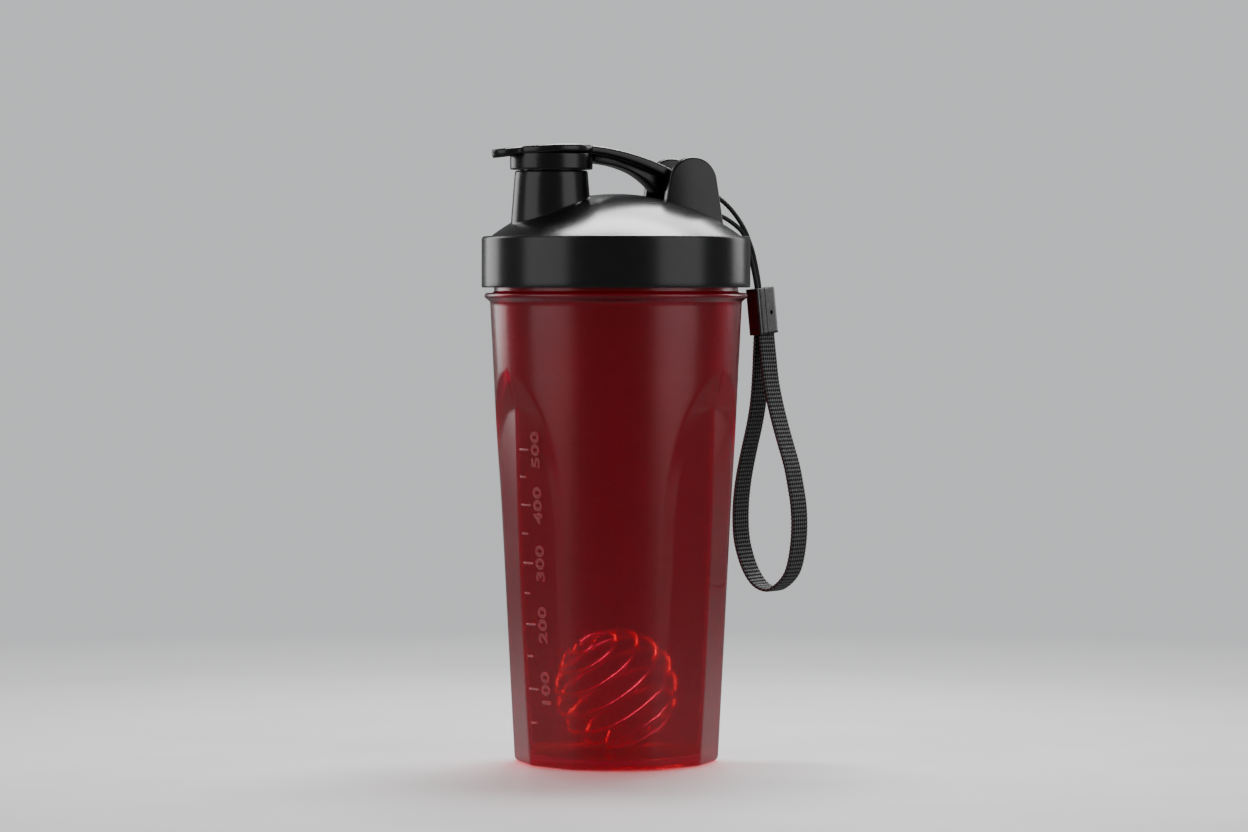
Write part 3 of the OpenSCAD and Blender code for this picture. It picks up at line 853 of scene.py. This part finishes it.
def dome_z(r, drop=0):
    """Height of the dome, or of a sphere that lies lower by drop, at a distance from the axis."""
    return DOME_TOP_Z - DOME_R + sqrt((DOME_R - drop) ** 2 - r * r)


def lid_dome():
    """Skirt, bead groove and dome, with the gasket's seat inside."""
    outer = (
        [(SKIRT_IN_R, SKIRT_Z + 0.5), (SKIRT_IN_R + 0.2, SKIRT_Z + 0.12), (SKIRT_IN_R + 0.5, SKIRT_Z)]
        + [(48, SKIRT_Z), (48.6, SKIRT_Z)]
        + arc(SKIRT_R - 0.5, SKIRT_Z + 0.5, 0.5, -90, 0, 4)
        + [(SKIRT_R, z) for z in (177, 181, 185, 189, 191.5)]
        + arc(SKIRT_R - 1.2, SKIRT_TOP_Z - 1.2, 1.2, 0, 90, 8)
        + [(DOME_EDGE_R + 0.75, SKIRT_TOP_Z - 0.02), (DOME_EDGE_R + 0.45, SKIRT_TOP_Z - 0.2)]
        + [(DOME_EDGE_R + 0.3, SKIRT_TOP_Z - 0.5), (DOME_EDGE_R + 0.12, SKIRT_TOP_Z - 0.72)]
        + [(DOME_EDGE_R - 0.1, SKIRT_TOP_Z - 0.6), (DOME_EDGE_R - 0.3, SKIRT_TOP_Z - 0.3)]
        + [(r, dome_z(r)) for r in (46.8, 46.2, 45, 43, 40.5, 38, 35, 32, 29, 26, 23)]
        + [(r, dome_z(r)) for r in (20, 17, 14, 11, 8, 5, 2.5)]
        + [(0, DOME_TOP_Z)]
    )
    inner = [(0, DOME_TOP_Z - 2)] + [(r, dome_z(r, 2)) for r in (6, 12, 18, 24, 30, 35, 38.5, 40.6)]
    inner += [(41, dome_z(41, 2) - 0.2), (41.2, dome_z(41.2, 2) - 0.6), (41.2, 188.5), (41.2, 187)]
    inner += arc(41.8, 187.1, 0.6, 180, 270, 4) + arc(42.2, 187.1, 0.6, -90, 0, 4)
    inner += [(42.8, 189), (42.8, FLANGE_Z - 0.3), (43.1, FLANGE_Z), (45, FLANGE_Z), (46.9, FLANGE_Z)]
    inner += [(SKIRT_IN_R, z) for z in (FLANGE_Z - 0.4, 188, 184, 180, 177)]
    return lathe(inner + outer, segments=192)


def skirt_thread():
    shells = []
    for start in THREAD_STARTS:
        rings = []
        for f in np.linspace(0, 1, 97):
            a, h = radians(start + 360 * f), LID_THREAD_Z + THREAD_LEAD * f
            s = thread_fade(f)
            crest = SKIRT_IN_R - LID_THREAD_H * s
            section = [(SKIRT_IN_R + 0.3, -1.15), (SKIRT_IN_R, -1.1)]
            section += [(crest + 0.1 * s, -0.55), (crest, -0.42)]
            section += [(r, -z) for r, z in section[::-1]]
            rings.append([(r * cos(a), r * sin(a), h + z) for r, z in section])
        shells.append(skin(rings))
    return shells


def spout():
    """Cone with a rounded lip, a small fillet on the dome and a straight bore."""

    def cone(z):
        return SPOUT_R + SPOUT_FLARE * (SPOUT_Z - z) / (SPOUT_Z - FLANGE_Z)

    columns_of = []
    for turn in np.linspace(0, 2 * pi, 128, endpoint=False):
        c, s = cos(turn), sin(turn)

        def dome_under(r):
            return dome_z(min(47.2, sqrt((SPOUT_X + r * c) ** 2 + (r * s) ** 2)))

        foot = 205.0
        for _ in range(30):
            foot += 0.6 * (dome_under(cone(foot)) - foot)
        rise, out = 0.9, 0.75
        high, r0, wide = cone(foot + rise), cone(foot), cone(foot) + out
        points = [(cone(z), z) for z in np.linspace(SPOUT_Z - 0.7, foot + rise, 8)]
        for t in (0.2, 0.4, 0.6, 0.8, 1.0):
            r = (1 - t) ** 2 * high + 2 * t * (1 - t) * r0 + t * t * wide
            z = (1 - t) ** 2 * (foot + rise) + 2 * t * (1 - t) * foot + t * t * dome_under(wide)
            points.append((r, z + 0.01))
        points.append((wide, dome_under(wide) - 0.6))
        low = min(dome_under(SPOUT_BORE), 205) - 1.9
        points += [(SPOUT_BORE + 0.9, low), (SPOUT_BORE, low)]
        points += [(SPOUT_BORE, z) for z in np.linspace(low + 1, SPOUT_Z - 0.5, 6)]
        points += arc(SPOUT_BORE + 0.5, SPOUT_Z - 0.5, 0.5, 180, 90, 4)
        points += arc(SPOUT_R - 0.7, SPOUT_Z - 0.7, 0.7, 90, 10, 5)
        columns_of.append([(SPOUT_X + r * c, r * s, z) for r, z in points])
    return skin(np.array(columns_of).transpose(1, 0, 2), closed=True)


def ear(y0, y1):
    """Plate with a round head and straight flanks that widen towards the dome."""
    flare = radians(EAR_FLARE)
    side_x, side_z = EAR_R * cos(flare), EAR_Z + EAR_R * sin(flare)
    spread, drop = (side_z - EAR_FOOT_Z) * tan(flare), side_z - EAR_FOOT_Z
    outline = [(side_x + spread * (1 - t), EAR_FOOT_Z + drop * t) for t in (0, 0.25, 0.5, 0.75)]
    outline += arc(0, EAR_Z, EAR_R, EAR_FLARE, 180 - EAR_FLARE, 40)
    outline += [(-side_x - spread * t, side_z - drop * t) for t in (0.25, 0.5, 0.75, 1)]
    outline = [(PIN_X + x, z) for x, z in outline]
    return plate(outline, y0, y1, [(0.75, 0), (0.6, 0.03), (0.14, 0.42), (0.03, 0.56), (0, 0.75)])


def lid_parts():
    side = [(BAR_R, y) for y in (-BAR_HALF, -6, 0, 6, BAR_HALF)]
    bar = lathe([(0, -BAR_HALF)] + side + [(0, BAR_HALF)], segments=40)
    return (
        [spout(), ear(-EAR_OUT, -EAR_OUT + EAR_T), ear(EAR_OUT - EAR_T, EAR_OUT)]
        + [across(bar, BAR_X, BAR_Z)]
        + skirt_thread()
    )


lid_look = lid_material()
bore_r = SPOUT_BORE + 0.6
bore = lathe([(0, 180), (bore_r, 180), (bore_r, 230), (0, 230)], (SPOUT_X, 0), 96)
dome = add("lid_dome", [lid_dome()], lid_look, "lid", "lid_shell")
cut_out(dome, bore)
finish_mesh(dome, lid_look, 32)
add("lid_spout_and_ears", lid_parts(), lid_look, "lid", None, 32)
gasket_in, gasket_out, gasket_t, gasket_edge = 43.4, 46.8, 1.55, 0.5
gasket_low = FLANGE_Z - gasket_t + gasket_edge
gasket = [(gasket_in, FLANGE_Z)] + arc(gasket_in + gasket_edge, gasket_low, gasket_edge, 180, 270)
gasket += arc(gasket_out - gasket_edge, gasket_low, gasket_edge, -90, 0) + [(gasket_out, FLANGE_Z)]
add(
    "lid_gasket_ring", [lathe(gasket, closed=True)],
    silicone_material(), "lid_carrier", "lid_gasket",
)

# ---------- flip cap ----------

CAP_R, CAP_LOW_Z, CAP_FLOOR_Z, CAP_TOP_Z = 15.4, 218, 220.4, 223.9
ARM_TOP_Z, ARM_HALF_W, TIP_X, TAB_R, HUB_R = 227.2, 8.9, -48, 7.5, 5
# The arm's crest, and how it bows down towards the tip and towards the hinge
CREST_X, TIP_BOW_R, HINGE_BOW_R = -20, 180, 86
ARM_T, ARM_SWELL, ARM_SWELL_FROM, ARM_SWELL_OVER = 3.1, 0.9, -6, 28
PLUG_IN_R, PLUG_OUT_R, SKIRT_BORE_R = 8.4, 10.2, 13.6


def arm_bow_r(x):
    return TIP_BOW_R if x < CREST_X else HINGE_BOW_R


def arm_z(x):
    """Height of the arm's top."""
    return ARM_TOP_Z - (x - CREST_X) ** 2 / 2 / arm_bow_r(x)


def arm_t(x):
    """Thickness of the arm, which swells towards the hinge."""
    return ARM_T + ARM_SWELL * max(0, x - ARM_SWELL_FROM) / ARM_SWELL_OVER


def arm_half_width(x):
    """Half width of the thumb tab, the disc over the spout and the strip, with soft corners between."""
    tab = sqrt(max(0.0, TAB_R**2 - (x - TIP_X - TAB_R) ** 2)) if x < TIP_X + TAB_R else TAB_R
    disc = sqrt(max(0.0, CAP_R**2 - (x - SPOUT_X) ** 2))
    strip = ARM_HALF_W if x > SPOUT_X else 0
    tab = tab if x < SPOUT_X else 0
    p = 14
    return max(tab, disc, strip, (tab**p + disc**p + strip**p) ** (1 / p))


def arm_ring(top, low, half):
    """Section with rounded edges between a top and a lower point of the arm's side view."""
    top, low = np.array(top), np.array(low)
    t = np.linalg.norm(top - low)
    up = (top - low) / t
    r = min(1.15, 0.4 * t, 0.6 * half)
    points = [(y, 0.0) for y in np.linspace(-(half - r), half - r, 9)]
    points += [(half - r + r * sin(a), r - r * cos(a)) for a in np.linspace(pi / 10, pi / 2, 5)]
    points += [(half - r + r * cos(a), t - r + r * sin(a)) for a in np.linspace(0, pi / 2, 6)]
    points += [(y, t) for y in np.linspace(half - r, -(half - r), 9)[1:]]
    points += [(r - half - r * sin(a), t - r + r * cos(a)) for a in np.linspace(pi / 10, pi / 2, 5)]
    points += [(r - half - r * cos(a), r - r * sin(a)) for a in np.linspace(0, 0.45 * pi, 5)]
    return [(top[0] - up[0] * d, y, top[1] - up[1] * d) for y, d in points]


def arm_shell():
    """The arm from its tip, closed round the tip's edge, to the hub. Rings lie closer where it is curved."""
    rings = []
    edge = 1.0
    spans = (
        (-46.4, -40.6, 0.55), (-40.6, -36, 0.3), (-36, -16, 0.8),
        (-16, -9, 0.35), (-9, 15, 1), (15, 21, 0.75),
    )
    tip = TIP_X + 0.02 + 1.2 * np.linspace(0, 1, 9) ** 1.6
    xs = np.concatenate([tip] + [np.arange(*span) for span in spans])
    for x in xs:
        d = min(edge, x - TIP_X)
        pull = 0.92 * (edge - sqrt(max(0, edge * edge - (edge - d) ** 2)))
        slope = -(x - CREST_X) / arm_bow_r(x)
        tilt = np.array((-slope, 1)) / sqrt(1 + slope * slope)
        top = np.array((x, arm_z(x) - pull))
        low = np.array((x, arm_z(x))) - tilt * arm_t(x) + np.array((0, pull))
        rings.append(arm_ring(top, low, arm_half_width(x)))
    rings.append(arm_ring((23.2, 216.6), (21.8, 212.6), ARM_HALF_W))
    rings.append(arm_ring((PIN_X, 216), (PIN_X - 0.6, 212.5), ARM_HALF_W))
    return skin(rings)


def rib_shell():
    """The rib under the arm, which leaves room for a finger and ends round the pin."""
    top = [(14, 219), (5, 221.6), (-3, 223), (-9.6, 223.8)]
    low = [
        (-10.4, 221.3), (-9.4, 220.75), (-8, 220.4), (-5.5, 220.1), (-2.4, 219.6), (0.6, 218.8),
        (3.5, 217.8), (5.6, 216.9), (7.4, 215.9), (9.4, 214.55), (11.4, 213), (12.9, 211.5),
        (14.4, 210.05), (15.6, 209.3), (17, 208.95), (19, 208.85), (21, 208.85), (23, 208.8),
        (PIN_X, 208.75), (PIN_X, 215), (21, 216),
    ]
    return plate(low + top, -4.5, 4.5, round_edge(0.5))


def cap_disc():
    """The cap over the spout: an outer skirt, and a plug that fits the spout's bore."""
    side, floor_z = CAP_R - 0.25, CAP_FLOOR_Z
    profile = (
        [(0, CAP_TOP_Z - 0.5), (10, CAP_TOP_Z - 0.5), (14.4, CAP_TOP_Z - 0.3)]
        + arc(side - 0.5, CAP_TOP_Z - 0.5, 0.5, 90, 0, 4)
        + [(side, 222), (side, 220), (side, 218.6)]
        + arc(side - 0.5, CAP_LOW_Z + 0.5, 0.5, 0, -90, 4)
        + arc(SKIRT_BORE_R + 0.3, CAP_LOW_Z + 0.3, 0.3, -90, -180, 4)
        + [(SKIRT_BORE_R, 219.2), (SKIRT_BORE_R, floor_z - 0.3), (SKIRT_BORE_R - 0.3, floor_z)]
        + [(PLUG_OUT_R + 0.3, floor_z), (PLUG_OUT_R, floor_z - 0.3), (PLUG_OUT_R, 217), (PLUG_OUT_R, 215.2)]
        + arc(PLUG_OUT_R - 0.5, 214.5, 0.5, 0, -90, 4)
        + arc(PLUG_IN_R + 0.4, 214.4, 0.4, -90, -180, 4)
        + [(PLUG_IN_R, 216), (PLUG_IN_R, floor_z - 0.4), (PLUG_IN_R - 0.4, floor_z), (0, floor_z)]
    )
    return lathe(profile, (SPOUT_X, 0), 144)


def hub_shell():
    half, edge = ARM_HALF_W, round_edge(0.5)
    profile = [(0, -half)] + [(HUB_R - x, d - half) for x, d in edge]
    profile += [(HUB_R, z) for z in (-5, -2, 2, 5)]
    profile += [(HUB_R - x, half - d) for x, d in edge[::-1]] + [(0, half)]
    return across(lathe(profile, segments=72), PIN_X, PIN_Z)


cap_look = cap_material()
add(
    "flip_cap_moulding",
    [arm_shell(), rib_shell(), cap_disc(), hub_shell()],
    cap_look, "cap", "flip_cap", 40,
)
seal_in, seal_out, seal_edge_z, seal_edge = PLUG_OUT_R + 0.05, SKIRT_BORE_R - 0.3, 218.35, 0.4
seal = [(seal_in, CAP_FLOOR_Z), (seal_in, seal_edge_z + 0.05)]
seal += arc(seal_in + seal_edge, seal_edge_z, seal_edge, 180, 270, 4)
seal += arc(seal_out - seal_edge, seal_edge_z, seal_edge, -90, 0, 4)
seal += [(seal_out, 219), (seal_out, CAP_FLOOR_Z)]
add(
    "cap_seal_ring", [lathe(seal, (SPOUT_X, 0), closed=True)],
    silicone_material(), "cap", "cap_seal",
)


def pin_profile():
    """The hinge pin, with a low domed head outside the far ear. Points are (radius, place along Y)."""
    shank = [(0, -11.7), (PIN_R - 0.2, -11.7), (PIN_R, -11.5), (PIN_R, -4), (PIN_R, 4), (PIN_R, 12)]
    head = [(PIN_R, 0), (2.55, 0), (2.6, 0.15), (2.35, 0.55), (1.9, 0.8), (1.2, 0.88), (0, 0.9)]
    return [(r, -y) for r, y in shank + [(r, EAR_OUT + y) for r, y in head]]


add(
    "hinge_pin_steel", [across(lathe(pin_profile(), segments=48), PIN_X, PIN_Z)],
    steel_material("pin_polished_steel"), "lid", "hinge_pin",
)

# ---------- whisk ball ----------


BALL_TURNS, BALL_WIRE_R, BALL_PATH_R, BALL_POLE = 8, 1.0, 22.0, 6
BALL_LIFT = 0.3
# How the winding lies: turned about an axis (0 is X, 1 is Y, 2 is Z) by an angle, one after another
BALL_LIE = ((1, -28), (0, 25), (2, -20))


def whisk_wire():
    """One wire wound from pole to pole of a ball."""
    f = np.linspace(0, 1, BALL_TURNS * 76 + 1)
    lat = np.radians(-90 + BALL_POLE + (180 - 2 * BALL_POLE) * f)
    lon = 2 * pi * BALL_TURNS * f
    line = BALL_PATH_R * np.stack([np.cos(lat) * np.cos(lon), np.cos(lat) * np.sin(lon), np.sin(lat)], 1)
    for axis, angle in BALL_LIE:
        line = line @ np.array(Matrix.Rotation(radians(angle), 3, "XYZ"[axis])).T
    out = line / np.linalg.norm(line, axis=1)[:, None]
    centre = np.array((0, 0, FLOOR_Z + BALL_PATH_R + BALL_WIRE_R + BALL_LIFT))
    return tube(line + centre, np.cross(directions(line), out), BALL_WIRE_R, BALL_WIRE_R, 14)


add(
    "whisk_ball_wire", [whisk_wire()],
    steel_material("whisk_bright_steel"), "ball", "whisk_ball", 50,
)

# ---------- studio ----------

# The object sees less of the pale floor and surroundings than the camera does, or they wash the cup out
FLOOR_DIMMED = 0.2
WORLD_SEEN, WORLD_LIT = 0.8, 0.16
FLOOR_R, FLOOR_BELOW = 2, 0.0003


def seen_or_lit(tree, seen, lit):
    """One value for what the camera sees directly and another for light that reaches the object."""
    ray = tree.nodes.new("ShaderNodeLightPath").outputs["Is Camera Ray"]
    value = tree.nodes.new("ShaderNodeMapRange")
    value.inputs["To Min"].default_value = lit
    value.inputs["To Max"].default_value = seen
    tree.links.new(ray, value.inputs["Value"])
    return value.outputs["Result"]


def floor():
    """A pale disc that fades into the pale background."""
    s = Shader("floor_pale", IOR=1.4)
    s.vary("Base Color", s.noise(400, 3), (0.66, 0.66, 0.665), (0.68, 0.68, 0.685))
    s.vary("Roughness", s.noise(60, 3), 0.38, 0.45)
    away = s.node("ShaderNodeVectorMath", {0: s.place()}, operation="LENGTH").outputs["Value"]
    fade = s.ramp(s.math("DIVIDE", away, FLOOR_R / MM), (0.06, 1), (0.13, 0.8), (0.22, 0.3), (0.34, 0))
    s.set("Alpha", s.math("MULTIPLY", fade, seen_or_lit(s.tree, 1, FLOOR_DIMMED)))
    segments = 96
    verts, faces = lathe([(FLOOR_R, 0), (0.5, 0), (0, 0)], segments=segments)
    mesh = bpy.data.meshes.new("floor")
    mesh.from_pydata(verts, [], [f for f in faces if len(f) < segments])
    obj = bpy.data.objects.new("floor", mesh)
    scene.collection.objects.link(obj)
    mesh.materials.append(s.material)
    obj.location.z = -FLOOR_BELOW


def light(name, place, target, size, power, only=None, colour=(1, 1, 1)):
    """Soft rectangular lamp. only is a collection that is all it lights."""
    data = bpy.data.lights.new(name, "AREA")
    data.shape = "RECTANGLE"
    data.size, data.size_y = size
    data.energy = power
    data.color = colour
    obj = bpy.data.objects.new(name, data)
    if only:
        obj.light_linking.receiver_collection = only
    scene.collection.objects.link(obj)
    obj.location = place
    obj.rotation_euler = (Vector(target) - obj.location).to_track_quat("-Z", "Y").to_euler()


def around(angle, distance, height):
    """A place round the object: angle from the camera's side, positive to its right."""
    a = VIEW_AZIMUTH + radians(angle)
    return Vector((sin(a), -cos(a), 0)) * distance + Vector((0, 0, height))


def studio():
    """A wide softbox on each side, weaker lamps for the rims, and two overhead for the dome."""
    floor()
    world = bpy.data.worlds.new("studio")
    scene.world = world
    world.use_nodes = True
    tree = world.node_tree
    back = tree.nodes["Background"]
    back.inputs["Color"].default_value = (0.80, 0.81, 0.83, 1)
    tree.links.new(seen_or_lit(tree, WORLD_SEEN, WORLD_LIT), back.inputs["Strength"])
    # Three widths on one another, so that each highlight fades out sideways
    for name, angle in (("left", -62), ("right", 57)):
        for width in (0.45, 0.7, 0.95):
            place = around(angle, 1.15, 0.48)
            light(f"softbox_{name}", place, (0, 0, 0.2), (width, 0.95), 3.7 * width)
    light("rim_left", around(-132, 1.1, 0.48), (0, 0, 0.25), (0.55, 0.8), 3.7)
    light("rim_right", around(128, 1.1, 0.55), (0, 0, 0.25), (0.42, 0.8), 2.5)
    light("softbox_top", around(173, 0.47, 1.3), (0, 0, 0.2), (0.85, 0.36), 26)
    light("softbox_top_far", around(166, 1.0, 1.2), (0, 0, 0.2), (0.75, 0.7), 17)
    # Only the ball gets this lamp: greenish, so that its glints are still pale behind red plastic
    ball = bpy.data.collections.new("ball_light_only")
    ball.objects.link(bpy.data.objects["whisk_ball_wire"])
    place = around(-10, 0.6, 0.75)
    light("ball_glints", place, (0, 0, 0.05), (1.2, 0.2), 300, ball, (0.18, 1, 0.55))


studio()
